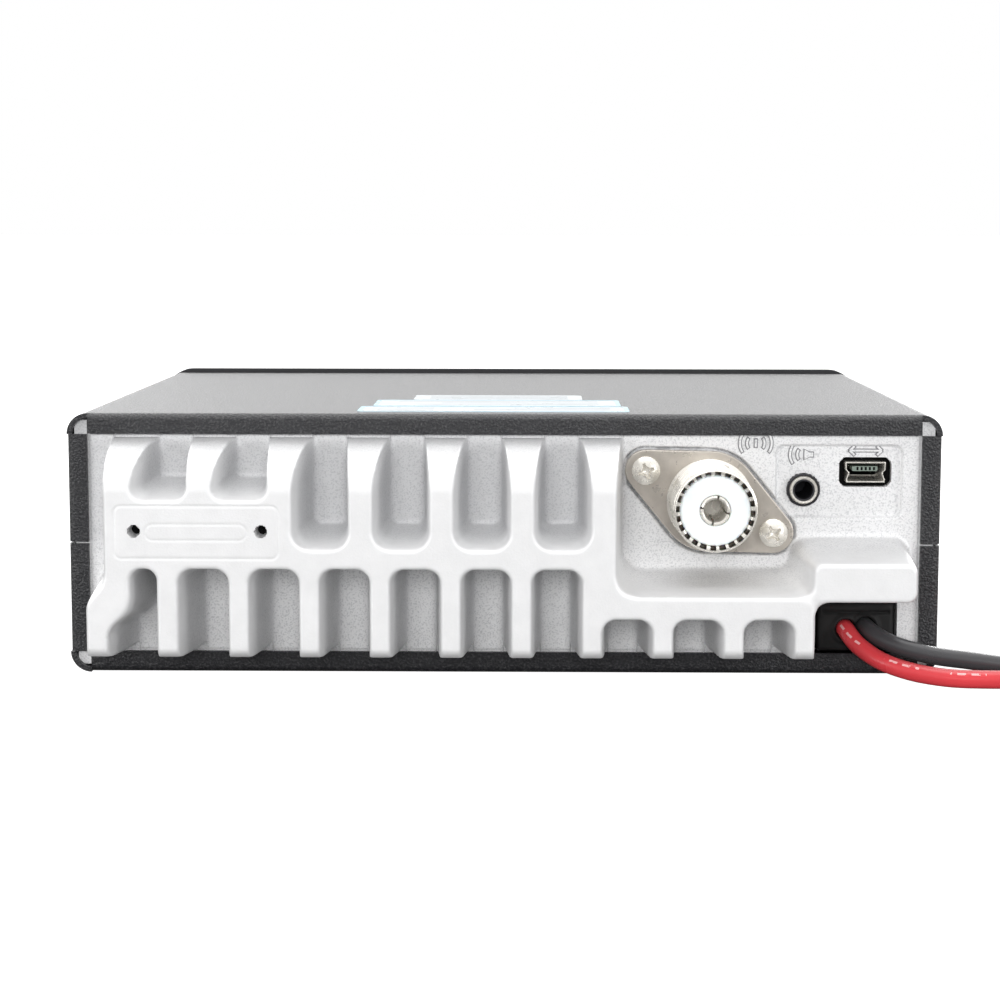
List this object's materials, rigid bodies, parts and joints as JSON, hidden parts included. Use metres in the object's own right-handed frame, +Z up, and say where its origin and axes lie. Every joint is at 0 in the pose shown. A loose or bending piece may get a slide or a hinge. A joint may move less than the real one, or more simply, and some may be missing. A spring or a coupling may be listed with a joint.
{
  "type": "mobile transceiver",
  "caption": "Compact mobile radio transceiver with knobs, keys and display at the front, a finned die-cast rear, antenna socket, jacks and captive power leads.",
  "frame": {"origin": "centre of the flat underside of the bottom cover, midway along the covers", "axes": "+Z up, front panel towards -Y, finned rear and connectors towards +Y, +X to the right of someone facing the front"},
  "size_m": [0.2378, 0.188, 0.052],
  "materials": {
    "cover_black": "wrinkle powder coat, semi-gloss",
    "cast_silver": "fine blasted silver paint",
    "nickel": "nickel plate",
    "zinc_steel": "zinc plate",
    "panel_black": "fine matt texture",
    "key_black": "satin",
    "rubber_black": "matt",
    "lens_smoke": "gloss",
    "lcd_grey": "gloss",
    "white_plastic": "satin",
    "ptfe": "waxy",
    "gold_contact": "gold flash",
    "board_green": "solder mask",
    "part_dark": "moulded",
    "pad_grey": "matt",
    "magnet_grey": "dull",
    "paper_black": "felted paper",
    "cloth_black": "fine weave",
    "lead_red": "gloss vinyl",
    "lead_black": "gloss vinyl",
    "film_tan": "gloss",
    "label_white": "coated paper"
  },
  "bodies": {
    "radio": {"rear_heatsink": "cast_silver", "chassis_frame": "cast_silver", "top_cover": "cover_black", "bottom_cover": "cover_black", "cover_screws": "zinc_steel", "bracket_nuts": "zinc_steel", "rear_labels": "label_white", "antenna_body": "nickel", "antenna_insulator": "ptfe", "antenna_contact": "nickel", "antenna_screws": "nickel", "speaker_jack": "panel_black", "data_shell": "nickel", "data_tongue": "key_black", "port_board": "board_green", "grommet": "rubber_black", "dc_terminal": "part_dark", "red_lead": "lead_red", "black_lead": "lead_black", "dc_plug": "white_plastic", "dc_contacts": "gold_contact", "front_panel": "panel_black", "panel_screws": "zinc_steel", "display_lens": "lens_smoke", "lcd_glass": "lcd_grey", "light_guide": "white_plastic", "lcd_holder": "white_plastic", "front_board": "board_green", "board_screws": "zinc_steel", "button_switches": "part_dark", "mic_shell": "nickel", "mic_insert": "part_dark", "mic_pins": "gold_contact", "mic_nut": "nickel", "encoder": "zinc_steel", "control_pot": "zinc_steel", "ribbon": "film_tan", "main_board": "board_green", "shield_can": "zinc_steel", "board_parts": "part_dark", "power_transistors": "part_dark", "transistor_clamp": "zinc_steel", "thermal_pads": "pad_grey", "speaker_frame": "zinc_steel", "speaker_magnet": "magnet_grey", "speaker_cone": "paper_black", "speaker_cloth": "cloth_black"},
    "channel": {"channel_knob": "key_black", "channel_shaft": "zinc_steel"},
    "squelch": {"squelch_knob": "key_black", "squelch_shaft": "zinc_steel"},
    "volume": {"volume_knob": "key_black", "volume_shaft": "zinc_steel"},
    "key_1": {"button_1": "key_black"},
    "key_2": {"button_2": "key_black"},
    "key_3": {"button_3": "key_black"},
    "key_4": {"button_4": "key_black"},
    "key_5": {"button_5": "key_black"},
    "key_6": {"button_6": "key_black"},
    "power_key": {"power_button": "key_black"}
  },
  "joints": [
    {"name": "channel_turn", "type": "hinge", "parent": "radio", "child": "channel", "pos_m": [0.057, -0.088, 0.029], "axis": [0, -1, 0], "continuous": true},
    {"name": "squelch_turn", "type": "hinge", "parent": "radio", "child": "squelch", "pos_m": [-0.07, -0.088, 0.0383], "axis": [0, -1, 0], "range_deg": [-150, 150]},
    {"name": "volume_turn", "type": "hinge", "parent": "radio", "child": "volume", "pos_m": [-0.07, -0.088, 0.0383], "axis": [0, -1, 0], "range_deg": [-150, 150]},
    {"name": "key_1_press", "type": "slide", "parent": "radio", "child": "key_1", "axis": [0, 1, 0], "range_m": [0, 0.0006], "stiffness_N_per_m": 1500, "springref_m": -0.0004},
    {"name": "key_2_press", "type": "slide", "parent": "radio", "child": "key_2", "axis": [0, 1, 0], "range_m": [0, 0.0006], "stiffness_N_per_m": 1500, "springref_m": -0.0004},
    {"name": "key_3_press", "type": "slide", "parent": "radio", "child": "key_3", "axis": [0, 1, 0], "range_m": [0, 0.0006], "stiffness_N_per_m": 1500, "springref_m": -0.0004},
    {"name": "key_4_press", "type": "slide", "parent": "radio", "child": "key_4", "axis": [0, 1, 0], "range_m": [0, 0.0006], "stiffness_N_per_m": 1500, "springref_m": -0.0004},
    {"name": "key_5_press", "type": "slide", "parent": "radio", "child": "key_5", "axis": [0, 1, 0], "range_m": [0, 0.0006], "stiffness_N_per_m": 1500, "springref_m": -0.0004},
    {"name": "key_6_press", "type": "slide", "parent": "radio", "child": "key_6", "axis": [0, 1, 0], "range_m": [0, 0.0006], "stiffness_N_per_m": 1500, "springref_m": -0.0004},
    {"name": "power_press", "type": "slide", "parent": "radio", "child": "power_key", "axis": [0, 1, 0], "range_m": [0, 0.0006], "stiffness_N_per_m": 1500, "springref_m": -0.0004}
  ]
}
